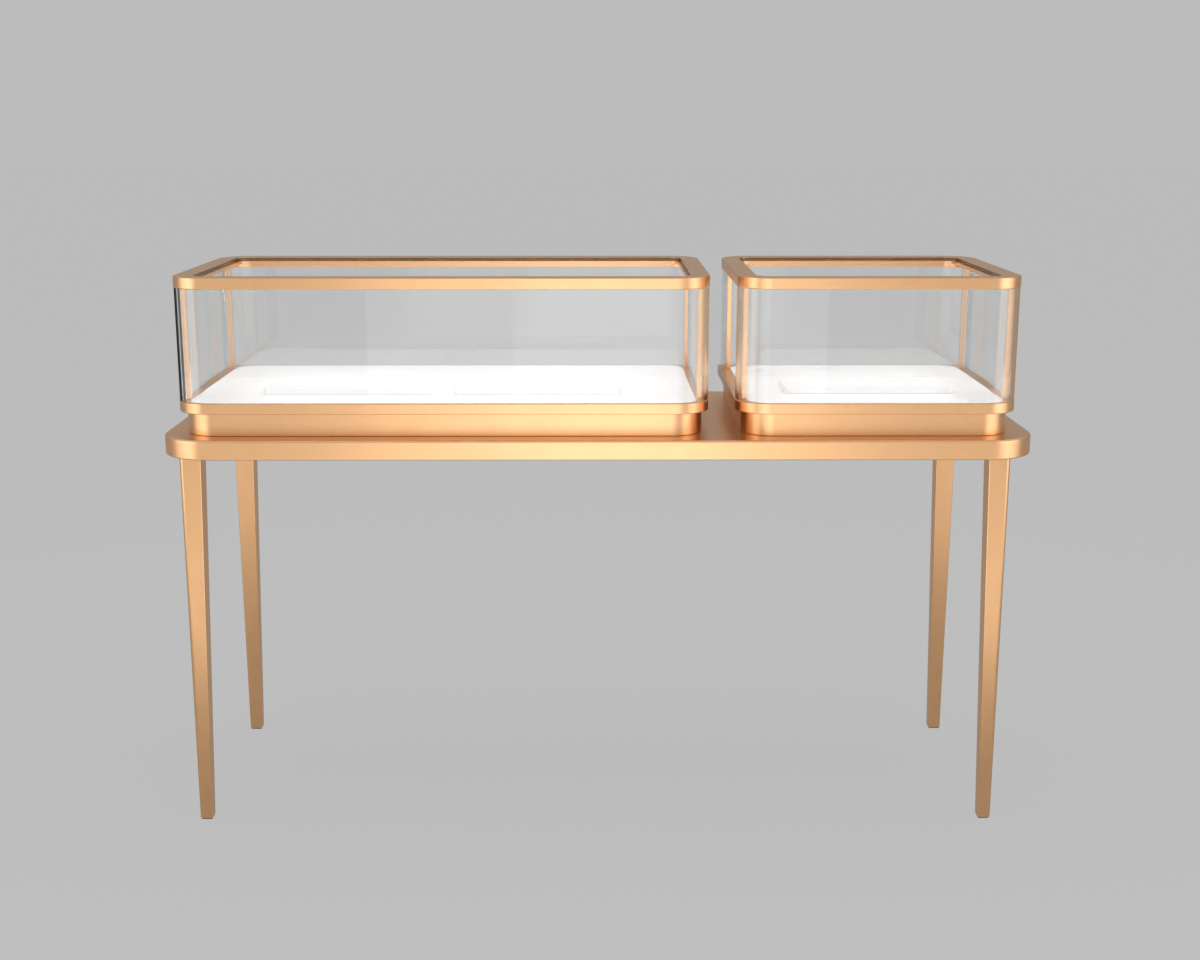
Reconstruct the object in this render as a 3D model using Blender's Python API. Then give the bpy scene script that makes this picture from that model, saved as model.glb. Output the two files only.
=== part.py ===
"""Glass display showcase: a satin rose-gold table on four tapered legs, carrying a
large and a small glass case.  Each case has a recessed plinth, a wider rim with a
ledge, a white deck on a rear pull-out tray, four slim posts, bent glass walls and
a rebated top frame that holds a glass lid.

Frame: metres, +Z up, X along the counter, customer side at -Y, service side at +Y,
origin on the floor under the middle of the table.
"""
import bpy
import bmesh
from math import cos, sin, pi, radians
from mathutils import Vector

for o in list(bpy.data.objects):
    bpy.data.objects.remove(o, do_unlink=True)

MM = 0.001
GAP = 0.3                    # clearance between pieces that touch, mm

# ---------------------------------------------------------------- table, mm
TABLE_W, TABLE_D = 1500.0, 500.0
TABLE_TOP = 697.0            # upper face of the tabletop
SLAB_H = 34.0                # height of the tabletop's fascia
TABLE_R = 87.0               # corner radius in plan
SHEET = 2.0                  # sheet thickness of the tabletop pan
LEG_OUT_X, LEG_OUT_Y = 710.0, 228.0   # outer corner of a leg, vertical
LEG_SHIFT = -5.0             # the four legs stand this far off the middle, in X
LEG_TOP, LEG_FOOT = 38.0, 23.0        # square section at top and foot
LEG_WALL = 2.5
PAD_H = 2.0

# ---------------------------------------------------------------- cases, mm
CASES = {"left": (-721.5, 190.5), "right": (236.0, 719.0)}
CASE_Y = 222.0               # half depth
CASE_R = 57.0                # corner radius of rim and top frame
PLINTH_IN = 11.0             # plinth face behind the rim face
PLINTH_R = 55.0              # corner radius of the plinth
PLINTH_T = 12.0
RIM_Z0, RIM_Z1 = 736.6, 754.9
DECK_X, DECK_Y = 21.0, 10.5  # deck edge behind the rim face, at the sides and the ends
DECK_R = 40.0                # corner radius of the deck
DECK_GAP = 0.4               # running clearance between deck and rim ledge
FRAME_Z0, FRAME_Z1 = 948.5, 967.5
FRAME_BAR = 33.0             # top width of the frame bar
FRAME_LEDGE = 4.5            # ledge that carries the lid
REBATE = 6.8                 # depth of the lid rebate
FRAME_WEB = 24.0             # the deep outer part of the bar, over posts and glass
FRAME_INNER = 12.5           # height of the shallow inner part
GLASS_IN, GLASS_T = 0.8, 6.0
LID_T = 6.0
POST_IN, POST_X = 12.0, 8.4  # post's outer face behind the rim face, and its width
POST_Y0, POST_Y1 = 165.5, 175.5
JOINT = 165.0                # where the bent panes meet the flat side panes
SIDE_END = 176.0             # where the straight side meets the rear pieces
TRAVEL = 270.0               # tray travel of the slides

# risers on the decks: case, name, x centre, y centre, width
RISERS = (("left", "left_riser_a", -436.5, -70.5, 301.0),
          ("left", "left_riser_b", -107.0, -70.5, 294.0),
          ("right", "right_riser", 477.0, -61.0, 300.0))

SEG = 10                     # segments per quarter turn


# ---------------------------------------------------------------- materials
def material(name, colour, rough, metal, transmission=0.0):
    m = bpy.data.materials.new(name)
    m.use_nodes = True
    b = m.node_tree.nodes["Principled BSDF"]
    b.inputs["Base Color"].default_value = (*colour, 1.0)
    b.inputs["Roughness"].default_value = rough
    b.inputs["Metallic"].default_value = metal
    b.inputs["Transmission Weight"].default_value = transmission
    return m


GOLD = material("rose_gold_satin", (0.80, 0.53, 0.33), 0.32, 1.0)
BRIGHT = material("rose_gold_polished", (0.84, 0.58, 0.36), 0.16, 1.0)
GLASS = material("clear_glass", (0.96, 0.98, 0.98), 0.02, 0.0, 1.0)
WHITE = material("white_lacquer", (0.90, 0.90, 0.90), 0.22, 0.0)
BOARD = material("laminated_board", (0.30, 0.22, 0.17), 0.55, 0.0)
STEEL = material("zinc_steel", (0.62, 0.63, 0.64), 0.35, 1.0)
CHROME = material("lock_chrome", (0.75, 0.75, 0.76), 0.12, 1.0)
NYLON = material("clear_nylon", (0.70, 0.68, 0.64), 0.45, 0.0)


# ---------------------------------------------------------------- helpers
def add_object(name, bm, mat, smooth=False):
    bmesh.ops.recalc_face_normals(bm, faces=bm.faces[:])
    me = bpy.data.meshes.new(name)
    bm.to_mesh(me)
    bm.free()
    for v in me.vertices:
        v.co *= MM
    me.update()
    if smooth:
        me.shade_smooth()
        me.set_sharp_from_angle(angle=radians(30))
    ob = bpy.data.objects.new(name, me)
    ob.data.materials.append(mat)
    bpy.context.scene.collection.objects.link(ob)
    return ob


def re_origin(ob, x, y, z):
    """Move the object's origin to a point in mm, leaving its faces where they are."""
    p = Vector((x, y, z)) * MM
    for v in ob.data.vertices:
        v.co -= p
    ob.location = p
    return ob


def arc(cx, cy, r, a0, a1, n=SEG):
    return [(cx + r * cos(radians(a0 + (a1 - a0) * k / n)),
             cy + r * sin(radians(a0 + (a1 - a0) * k / n))) for k in range(n + 1)]


def round_rect(x0, x1, y0, y1, r, n=SEG):
    """Closed outline, counter-clockwise, with 4 * (n + 1) points."""
    r = max(r, 0.4)
    return (arc(x1 - r, y1 - r, r, 0, 90, n) + arc(x0 + r, y1 - r, r, 90, 180, n)
            + arc(x0 + r, y0 + r, r, 180, 270, n) + arc(x1 - r, y0 + r, r, 270, 360, n))


def case_outline(case, inset):
    x0, x1 = CASES[case]
    return round_rect(x0 + inset, x1 - inset, -CASE_Y + inset, CASE_Y - inset, CASE_R - inset)


def deck_outline(case, inset):
    x0, x1 = CASES[case]
    return round_rect(x0 + DECK_X + inset, x1 - DECK_X - inset,
                      -CASE_Y + DECK_Y + inset, CASE_Y - DECK_Y - inset, DECK_R - inset)


def u_path(case, side, front, r, y_end, rear=False):
    """Open path down one side, round the two corners and up the other side, set in by
    side and front.  It runs round the front of the case, or mirrored round its rear."""
    x0, x1 = CASES[case]
    ya = -CASE_Y + front + r
    pts = ([(x0 + side, y_end)] + arc(x0 + side + r, ya, r, 180, 270)
           + arc(x1 - side - r, ya, r, 270, 360) + [(x1 - side, y_end)])
    if rear:
        pts = [(x, -y) for x, y in pts]
    return pts


def rim_path(case, inset, y_end, rear=False):
    return u_path(case, inset, inset, CASE_R - inset, y_end, rear)


def plinth_path(case, inset, y_end):
    i = PLINTH_IN + inset
    return u_path(case, i, i, PLINTH_R - inset, y_end)


def deck_path(case, inset, y_end):
    return u_path(case, DECK_X + inset, DECK_Y + inset, DECK_R - inset, y_end)


def loops_to_faces(bm, rings, closed_ring):
    for a, b in zip(rings[:-1], rings[1:]):
        n = len(a)
        for k in range(n if closed_ring else n - 1):
            bm.faces.new((a[k], a[(k + 1) % n], b[(k + 1) % n], b[k]))


def solid_rings(name, rings, mat, smooth=False):
    """Solid from a stack of closed rings [(points, z)], capped at both ends."""
    bm = bmesh.new()
    vs = [[bm.verts.new((x, y, z)) for x, y in pts] for pts, z in rings]
    loops_to_faces(bm, vs, True)
    bm.faces.new(vs[0])
    bm.faces.new(vs[-1])
    return add_object(name, bm, mat, smooth)


def closed_band(name, ring_fn, profile, mat, smooth=False):
    """Profile [(inset, z)] carried all the way round a closed outline."""
    bm = bmesh.new()
    vs = [[bm.verts.new((x, y, z)) for x, y in ring_fn(i)] for i, z in profile]
    loops_to_faces(bm, vs + [vs[0]], True)
    return add_object(name, bm, mat, smooth)


def open_band(name, lines, mat, smooth=False):
    """Closed profile carried along an open path, with both ends filled.  Each line of
    the profile is its own path and height: [(points, z)]."""
    bm = bmesh.new()
    vs = [[bm.verts.new((x, y, z)) for x, y in pts] for pts, z in lines]
    loops_to_faces(bm, vs + [vs[0]], False)
    bm.faces.new([r[0] for r in vs])
    bm.faces.new([r[-1] for r in vs])
    return add_object(name, bm, mat, smooth)


def prism(name, pts, z0, z1, mat, smooth=False):
    """Flat outline extruded straight up."""
    bm = bmesh.new()
    f = bm.faces.new([bm.verts.new((x, y, z0)) for x, y in pts])
    up = bmesh.ops.extrude_face_region(bm, geom=[f])
    bmesh.ops.translate(bm, vec=(0, 0, z1 - z0),
                        verts=[g for g in up["geom"] if isinstance(g, bmesh.types.BMVert)])
    return add_object(name, bm, mat, smooth)


def y_prism(name, pts, y0, y1, mat):
    """Outline in X and Z extruded along Y."""
    bm = bmesh.new()
    f = bm.faces.new([bm.verts.new((x, y0, z)) for x, z in pts])
    up = bmesh.ops.extrude_face_region(bm, geom=[f])
    bmesh.ops.translate(bm, vec=(0, y1 - y0, 0),
                        verts=[g for g in up["geom"] if isinstance(g, bmesh.types.BMVert)])
    return add_object(name, bm, mat)


def box(name, x0, x1, y0, y1, z0, z1, mat, bevel=0.0):
    bm = bmesh.new()
    bmesh.ops.create_cube(bm, size=1.0)
    for v in bm.verts:
        v.co = Vector(((x0 + x1) / 2 + v.co.x * (x1 - x0),
                       (y0 + y1) / 2 + v.co.y * (y1 - y0),
                       (z0 + z1) / 2 + v.co.z * (z1 - z0)))
    if bevel:
        bmesh.ops.bevel(bm, geom=bm.edges[:], offset=bevel, segments=1, affect="EDGES")
    return add_object(name, bm, mat)


def turned(name, profile, centre, axis, mat, n=24):
    """Closed solid turned about an axis through centre: profile [(radius, height)]."""
    bm = bmesh.new()
    rings = []
    for r, h in profile:
        ring = []
        for k in range(n):
            a = 2 * pi * k / n
            if axis == "Z":
                p = (centre[0] + r * cos(a), centre[1] + r * sin(a), centre[2] + h)
            else:
                p = (centre[0] + r * cos(a), centre[1] + h, centre[2] + r * sin(a))
            ring.append(bm.verts.new(p))
        rings.append(ring)
    loops_to_faces(bm, rings, True)
    bm.faces.new(rings[0])
    bm.faces.new(rings[-1])
    return add_object(name, bm, mat, True)


def boolean(ob, other, operation):
    other.hide_render = True
    other.display_type = "WIRE"
    m = ob.modifiers.new(operation.lower() + "_" + other.name, "BOOLEAN")
    m.operation = operation
    m.object = other


# ---------------------------------------------------------------- table
def table():
    hw, hd = TABLE_W / 2, TABLE_D / 2

    def outline(inset):
        return round_rect(-hw + inset, hw - inset, -hd + inset, hd - inset, TABLE_R - inset, 12)

    zt, zb = TABLE_TOP, TABLE_TOP - SLAB_H
    inner = SHEET + 1.5
    # folded pan: flat top, rolled upper and lower edges, open underneath
    solid_rings("tabletop", [
        (outline(4.5), zt), (outline(2.25), zt - 0.6), (outline(0.6), zt - 2.25),
        (outline(0.0), zt - 4.5),
        (outline(0.0), zb + 2.0), (outline(0.6), zb + 0.6), (outline(2.0), zb),
        (outline(inner), zb), (outline(inner), zt - SHEET)], GOLD, True)

    core = solid_rings("tabletop_core", [
        (outline(inner + GAP), zb + 1.0), (outline(inner + GAP), zt - SHEET - GAP)], BOARD)

    for sx, nx in ((-1, "left"), (1, "right")):
        for sy, ny in ((-1, "front"), (1, "rear")):
            tag = ny + "_" + nx

            def section(size, off, sx=sx, sy=sy):
                """Square leg section of the given size, shrunk by off on each face.
                The outer corner keeps its place and has the large radius."""
                xo, yo = LEG_OUT_X - off, LEG_OUT_Y - off
                xi, yi = LEG_OUT_X - size + off, LEG_OUT_Y - size + off
                big, small = max(8.0 - off, 1.0), max(1.8 - off, 0.3)
                pts = (arc(xo - big, yo - big, big, 0, 90, 6)
                       + arc(xi + small, yo - small, small, 90, 180, 1)
                       + arc(xi + small, yi + small, small, 180, 270, 1)
                       + arc(xo - small, yi + small, small, 270, 360, 1))
                return [(sx * x + LEG_SHIFT, sy * y) for x, y in pts]

            top_z = zb + 1.0 - GAP

            def size_at(z):
                return LEG_FOOT + (LEG_TOP - LEG_FOOT) * z / top_z

            z0 = PAD_H + GAP
            plate = zt - 45.0
            leg = solid_rings("leg_" + tag, [
                (section(size_at(top_z), 0), top_z),
                (section(size_at(z0), 0), z0),
                (section(size_at(z0), LEG_WALL), z0),
                (section(size_at(plate), LEG_WALL), plate)], GOLD, True)

            solid_rings("foot_pad_" + tag, [
                (section(LEG_FOOT, 1.2), 0.0), (section(LEG_FOOT, 1.2), PAD_H),
                (section(LEG_FOOT, LEG_WALL + 0.5), PAD_H),
                (section(LEG_FOOT, LEG_WALL + 0.8), 10.0)], NYLON)

            bx = sx * (LEG_OUT_X - LEG_TOP / 2) + LEG_SHIFT
            by = sy * (LEG_OUT_Y - LEG_TOP / 2)
            drill = turned("drill_" + tag, [(5.4, zt - 55.0), (5.4, zt - 15.0),
                                            (10.4, zt - 11.0), (10.4, zt + 5.0)],
                           (bx, by, 0), "Z", STEEL, 16)
            boolean(leg, drill, "DIFFERENCE")
            boolean(core, drill, "DIFFERENCE")
            bolt = turned("leg_bolt_" + tag, [(5.0, zt - 43.0), (5.0, zt - 14.7),
                                              (8.6, zt - 10.6), (9.4, zt - 9.6),
                                              (9.4, zt - 5.5), (8.6, zt - 4.7)],
                          (bx, by, 0), "Z", STEEL, 16)
            hexagon = turned("hex_" + tag, [(3.6, zt - 8.0), (3.6, zt - 2.0)],
                             (bx, by, 0), "Z", STEEL, 6)
            boolean(bolt, hexagon, "DIFFERENCE")


# ---------------------------------------------------------------- one case
def showcase(case):
    x0, x1 = CASES[case]
    xm = (x0 + x1) / 2

    # plinth skirt round the front and sides, open to the rear
    face, back = plinth_path(case, 0.0, SIDE_END), plinth_path(case, PLINTH_T, SIDE_END)
    open_band(case + "_plinth", [(face, TABLE_TOP + GAP), (face, RIM_Z0 - GAP),
                                 (back, RIM_Z0 - GAP), (back, TABLE_TOP + GAP)], GOLD, True)

    # rim: outer band and inward ledge that carries glass and posts
    def rim(i):
        return rim_path(case, i, SIDE_END)

    inner = deck_path(case, -DECK_GAP, SIDE_END)
    open_band(case + "_rim", [(rim(1.2), RIM_Z0), (rim(0.0), RIM_Z0 + 1.2),
                              (rim(0.0), RIM_Z1 - 1.2), (rim(1.2), RIM_Z1),
                              (inner, RIM_Z1), (inner, RIM_Z0)], GOLD, True)

    # rear fascia of the tray: the rim's rear run over the plinth's rear face,
    # with square ends where it closes against the side pieces
    ya = SIDE_END + GAP
    cy, ri = CASE_Y - DECK_Y - DECK_R, DECK_R + GAP
    rim_part = ([(x0, ya), (x0, CASE_Y - 1.5), (x0 + 1.5, CASE_Y), (x1 - 1.5, CASE_Y),
                 (x1, CASE_Y - 1.5), (x1, ya), (x1 - DECK_X + GAP, ya)]
                + [p for p in arc(x1 - DECK_X - DECK_R, cy, ri, 0, 90) if p[1] > ya + 0.5]
                + [p for p in arc(x0 + DECK_X + DECK_R, cy, ri, 90, 180) if p[1] > ya + 0.5]
                + [(x0 + DECK_X - GAP, ya)])
    fascia = prism(case + "_rear_fascia", rim_part, RIM_Z0 - 0.5, RIM_Z1, GOLD)
    a, b, t = x0 + PLINTH_IN, x1 - PLINTH_IN, 14.0
    yb = CASE_Y - PLINTH_IN
    front = prism(case + "_fascia_lower", [(a, ya), (a, yb), (b, yb), (b, ya), (b - t, ya),
                                           (b - t, yb - t), (a + t, yb - t), (a + t, ya)],
                  TABLE_TOP + 0.9, RIM_Z0 - 0.1, GOLD)
    boolean(fascia, front, "UNION")

    # cam lock in the middle of the fascia: turning plug with a key slot, and its cam
    lz = TABLE_TOP + 22.0
    hole = turned(case + "_lock_hole", [(9.9, yb - t - 6.0), (9.9, yb + 6.0)], (xm, 0, lz), "Y", GOLD)
    boolean(fascia, hole, "DIFFERENCE")
    plug = turned(case + "_lock_cylinder", [(9.5, yb - 17.8), (9.5, yb + GAP), (12.0, yb + GAP),
                                            (12.0, yb + 1.6), (11.2, yb + 2.4), (6.4, yb + 2.4),
                                            (6.0, yb + 1.8)], (xm, 0, lz), "Y", CHROME)
    re_origin(plug, xm, yb - 8.0, lz)
    slot = box(case + "_key_slot", xm - 0.9, xm + 0.9, yb - 5.0, yb + 5.0, lz - 4.2, lz + 4.2, CHROME)
    boolean(plug, slot, "DIFFERENCE")
    cam = prism(case + "_lock_cam", arc(xm, 0, 7.5, 90, 270, 8)
                + arc(xm + 12.5, 0, 6.5, -90, 90, 6), -1.1, 1.1, STEEL, True)
    for v in cam.data.vertices:            # lay the cam in the X-Z plane behind the plug
        x, y, z = v.co
        v.co = (x, (yb - 19.2) * MM + z, lz * MM + y)
    cam.data.flip_normals()
    re_origin(cam, xm, yb - 8.0, lz)

    # strike on the tabletop: the turned-down cam catches behind its upright
    zt = TABLE_TOP
    y_prism_pts = [(150.0, zt + GAP), (yb - 16.2, zt + GAP), (yb - 16.2, zt + 11.0),
                   (yb - 17.8, zt + 11.0), (yb - 17.8, zt + 2.0), (150.0, zt + 2.0)]
    bm = bmesh.new()
    f = bm.faces.new([bm.verts.new((xm - 12.0, y, z)) for y, z in y_prism_pts])
    up = bmesh.ops.extrude_face_region(bm, geom=[f])
    bmesh.ops.translate(bm, vec=(24.0, 0, 0),
                        verts=[g for g in up["geom"] if isinstance(g, bmesh.types.BMVert)])
    add_object(case + "_lock_strike", bm, STEEL)

    # deck board of the tray, flush in the rim
    solid_rings(case + "_deck", [
        (deck_outline(case, 0.0), RIM_Z0 + GAP),
        (deck_outline(case, 0.0), RIM_Z1 - 0.5),
        (deck_outline(case, 0.8), RIM_Z1 + 0.3)], WHITE, True)
    for owner, name, cx, cy, w in RISERS:
        if owner == case:
            x, y, h = w / 2, 60.0, 12.0
            zd = RIM_Z1 + 0.3 + GAP

            def ring(i, cx=cx, cy=cy, x=x, y=y):
                return round_rect(cx - x + i, cx + x - i, cy - y + i, cy + y - i, 12.0 - i, 6)
            solid_rings(name, [(ring(0.0), zd), (ring(0.0), zd + h - 1.5),
                               (ring(0.5), zd + h - 0.5), (ring(1.5), zd + h)], WHITE, True)

    # slides under the deck: channel on the plinth, runner on the tray
    for s, edge, tag in ((1, x0, "left"), (-1, x1, "right")):
        i0 = PLINTH_IN + PLINTH_T + GAP
        z0, z1 = TABLE_TOP + 8.0, TABLE_TOP + 32.0
        channel = [(i0, z0), (i0 + 12.0, z0), (i0 + 12.0, z0 + 4.0), (i0 + 10.6, z0 + 4.0),
                   (i0 + 10.6, z0 + 1.5), (i0 + 1.5, z0 + 1.5), (i0 + 1.5, z1 - 1.5),
                   (i0 + 10.6, z1 - 1.5), (i0 + 10.6, z1 - 4.0), (i0 + 12.0, z1 - 4.0),
                   (i0 + 12.0, z1), (i0, z1)]
        y_prism(case + "_slide_channel_" + tag, [(edge + s * i, z) for i, z in channel],
                -155.0, 166.0, STEEL)
        zc = (z0 + z1) / 2
        runner = [(i0 + 2.2, zc - 9.4), (i0 + 9.6, zc - 9.4), (i0 + 9.6, zc - 1.5),
                  (i0 + 16.0, zc - 1.5), (i0 + 16.0, RIM_Z0 - 2.5), (i0 + 34.0, RIM_Z0 - 2.5),
                  (i0 + 34.0, RIM_Z0), (i0 + 13.5, RIM_Z0), (i0 + 13.5, zc + 1.5),
                  (i0 + 9.6, zc + 1.5), (i0 + 9.6, zc + 9.4), (i0 + 2.2, zc + 9.4)]
        y_prism(case + "_slide_runner_" + tag, [(edge + s * i, z) for i, z in runner],
                -155.0, 166.0, STEEL)

    # posts inside the glass, at the joints between bent and flat panes
    for sx, edge, nx in ((1, x0, "left"), (-1, x1, "right")):
        for sy, ny in ((-1, "front"), (1, "rear")):
            xa, xb = sorted((edge + sx * POST_IN, edge + sx * (POST_IN + POST_X)))
            ya2, yb2 = sorted((sy * POST_Y0, sy * POST_Y1))
            box(case + "_post_" + ny + "_" + nx, xa, xb, ya2, yb2,
                RIM_Z1 + GAP, FRAME_Z0 - GAP, BRIGHT, 0.8)

    # glass walls: bent front, two flat sides, bent rear that leaves with the tray
    gz0, gz1 = RIM_Z1 + GAP, FRAME_Z0 - GAP
    gi, go = GLASS_IN + GLASS_T, GLASS_IN
    fo, fi = rim_path(case, go, -JOINT), rim_path(case, gi, -JOINT)
    open_band(case + "_glass_front", [(fo, gz0), (fo, gz1), (fi, gz1), (fi, gz0)], GLASS, True)
    bo, bi = (rim_path(case, go, -JOINT - GAP, True), rim_path(case, gi, -JOINT - GAP, True))
    open_band(case + "_glass_rear", [(bo, gz0), (bo, gz1 - 1.0), (bi, gz1 - 1.0), (bi, gz0)],
              GLASS, True)
    for sx, edge, nx in ((1, x0, "left"), (-1, x1, "right")):
        xa, xb = sorted((edge + sx * go, edge + sx * gi))
        box(case + "_glass_side_" + nx, xa, xb, -JOINT + GAP, JOINT, gz0, gz1, GLASS)

    # top frame with a rebate for the lid, and the lid
    closed_band(case + "_top_frame", lambda i: case_outline(case, i),
                [(1.2, FRAME_Z0), (0.0, FRAME_Z0 + 1.2), (0.0, FRAME_Z1 - 1.2), (1.2, FRAME_Z1),
                 (FRAME_BAR - 0.6, FRAME_Z1), (FRAME_BAR, FRAME_Z1 - 0.6),
                 (FRAME_BAR, FRAME_Z1 - REBATE), (FRAME_BAR + FRAME_LEDGE, FRAME_Z1 - REBATE),
                 (FRAME_BAR + FRAME_LEDGE, FRAME_Z1 - FRAME_INNER),
                 (FRAME_WEB, FRAME_Z1 - FRAME_INNER), (FRAME_WEB, FRAME_Z0)], GOLD, True)
    lid0 = FRAME_Z1 - REBATE + GAP
    solid_rings(case + "_glass_lid", [
        (case_outline(case, FRAME_BAR + 0.5), lid0),
        (case_outline(case, FRAME_BAR + 0.5), lid0 + LID_T)], GLASS, True)


table()
for case in CASES:
    showcase(case)
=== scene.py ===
"""Glass display showcase: fine pieces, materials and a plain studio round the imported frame."""

from math import atan2, cos, pi, radians, sin, sqrt, tan

import bmesh
import bpy
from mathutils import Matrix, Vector


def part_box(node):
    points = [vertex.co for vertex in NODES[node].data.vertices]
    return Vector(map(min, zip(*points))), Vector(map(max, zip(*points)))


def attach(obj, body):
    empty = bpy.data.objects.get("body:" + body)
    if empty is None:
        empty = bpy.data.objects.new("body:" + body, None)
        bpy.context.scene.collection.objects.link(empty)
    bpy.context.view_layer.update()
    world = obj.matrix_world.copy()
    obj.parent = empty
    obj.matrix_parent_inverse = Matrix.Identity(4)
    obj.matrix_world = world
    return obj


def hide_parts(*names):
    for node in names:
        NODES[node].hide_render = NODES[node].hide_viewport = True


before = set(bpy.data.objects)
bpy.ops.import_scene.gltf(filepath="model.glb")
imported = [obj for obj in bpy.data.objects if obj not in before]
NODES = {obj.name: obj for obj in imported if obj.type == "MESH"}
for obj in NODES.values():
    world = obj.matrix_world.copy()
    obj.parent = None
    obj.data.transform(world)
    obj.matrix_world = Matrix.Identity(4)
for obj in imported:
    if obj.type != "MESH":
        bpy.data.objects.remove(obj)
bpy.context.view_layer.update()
MM = 0.001


def mmbox(node):
    lo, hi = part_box(node)
    return [c * 1000.0 for c in lo], [c * 1000.0 for c in hi]


# ---------------------------------------------------------------- numbers from the frame, mm
t_lo, t_hi = mmbox("tabletop")
TOP, UNDER = t_hi[2], t_lo[2]
HW, HD = t_hi[0], t_hi[1]
TABLE_R, SHEET, LIP = 87.0, 2.0, 3.5
CASE_R, PLINTH_R, DECK_R = 57.0, 55.0, 40.0
SEG = 26
TRAYS = {"left": "left_tray", "right": "right_tray"}


# ---------------------------------------------------------------- node helpers
def new_material(name):
    m = bpy.data.materials.new(name)
    m.use_nodes = True
    nt = m.node_tree
    return m, nt, nt.nodes["Principled BSDF"], nt.nodes["Material Output"]


def put(nt, kind, props=None, **sockets):
    n = nt.nodes.new(kind)
    for k, v in (props or {}).items():
        setattr(n, k, v)
    for k, v in sockets.items():
        sock = n.inputs[int(k[1:])] if k[0] == "i" and k[1:].isdigit() else n.inputs[k.replace("_", " ")]
        if isinstance(v, bpy.types.NodeSocket):
            nt.links.new(v, sock)
        else:
            sock.default_value = v
    return n


def noise(nt, vector, scale, detail=2.0, rough=0.5, distortion=0.0):
    return put(nt, "ShaderNodeTexNoise", Vector=vector, Scale=scale, Detail=detail,
               Roughness=rough, Distortion=distortion).outputs["Fac"]


def ramp(nt, value, a, b, lo=0.0, hi=1.0, mode="LINEAR"):
    return put(nt, "ShaderNodeMapRange", {"interpolation_type": mode}, Value=value,
               From_Min=a, From_Max=b, To_Min=lo, To_Max=hi).outputs["Result"]


def calc(nt, op, a, b=0.0, c=0.0):
    n = nt.nodes.new("ShaderNodeMath")
    n.operation = op
    for k, v in enumerate((a, b, c)):
        if isinstance(v, bpy.types.NodeSocket):
            nt.links.new(v, n.inputs[k])
        else:
            n.inputs[k].default_value = v
    return n.outputs[0]


def mix(nt, fac, a, b, blend="MIX"):
    n = nt.nodes.new("ShaderNodeMix")
    n.data_type = "RGBA"
    n.blend_type = blend
    for k, v in ((0, fac), (6, a), (7, b)):
        if isinstance(v, bpy.types.NodeSocket):
            nt.links.new(v, n.inputs[k])
        else:
            n.inputs[k].default_value = v if k == 0 else (*v, 1.0)
    return n.outputs[2]


def place(nt, vector, scale):
    return put(nt, "ShaderNodeMapping", Vector=vector, Scale=scale).outputs["Vector"]


def bump(nt, height, distance, strength=1.0):
    return put(nt, "ShaderNodeBump", Height=height, Distance=distance,
               Strength=strength).outputs["Normal"]


# ---------------------------------------------------------------- materials
def gold(name, colour, dark, rough, coat, along=True, streak=1.0, lighter=0.5):
    """Plated rose gold: fine grain that follows the piece (UV in metres, U along it)."""
    m, nt, b, out = new_material(name)
    obj = nt.nodes.new("ShaderNodeTexCoord").outputs["Object"]
    uv = nt.nodes.new("ShaderNodeUVMap").outputs["UV"]
    edge = put(nt, "ShaderNodeAttribute", {"attribute_name": "edge"}).outputs["Fac"]
    coarse = noise(nt, place(nt, uv, (2.2, 330.0, 1.0)), 1.0, 3.0, 0.6)
    fine = noise(nt, place(nt, uv, (14.0, 2600.0, 1.0)), 1.0, 2.0, 0.6)
    cloud = noise(nt, obj, 4.5, 4.0, 0.55, 0.4)
    smear = noise(nt, obj, 17.0, 5.0, 0.6, 1.2)
    tone = calc(nt, "ADD", calc(nt, "MULTIPLY", ramp(nt, coarse, 0.3, 0.7, -0.5, 0.5), 0.55 * streak),
                calc(nt, "MULTIPLY", ramp(nt, cloud, 0.3, 0.7, -0.5, 0.5), 0.6))
    col = mix(nt, ramp(nt, tone, -0.5, 0.5, 0.0, 1.0), dark, colour)
    worn = calc(nt, "MULTIPLY", edge, ramp(nt, smear, 0.42, 0.62, 0.35, 1.0))
    col = mix(nt, calc(nt, "MULTIPLY", worn, lighter), col, (0.95, 0.66, 0.40))
    nt.links.new(col, b.inputs["Base Color"])
    b.inputs["Metallic"].default_value = 1.0
    r = calc(nt, "ADD", calc(nt, "MULTIPLY", ramp(nt, fine, 0.3, 0.7, -0.5, 0.5), 0.07 * streak),
             calc(nt, "MULTIPLY", ramp(nt, smear, 0.35, 0.7, -0.3, 0.7), 0.06))
    r = calc(nt, "SUBTRACT", calc(nt, "ADD", r, rough), calc(nt, "MULTIPLY", worn, 0.05))
    nt.links.new(r, b.inputs["Roughness"])
    b.inputs["Coat Weight"].default_value = coat
    b.inputs["Coat Roughness"].default_value = 0.2
    b.inputs["Specular Tint"].default_value = (0.97, 0.98, 0.97, 1.0)
    h = calc(nt, "ADD", calc(nt, "MULTIPLY", coarse, 0.6), calc(nt, "MULTIPLY", fine, 0.4))
    nt.links.new(bump(nt, h, 0.000012 * streak, 0.6), b.inputs["Normal"])
    return m


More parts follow.
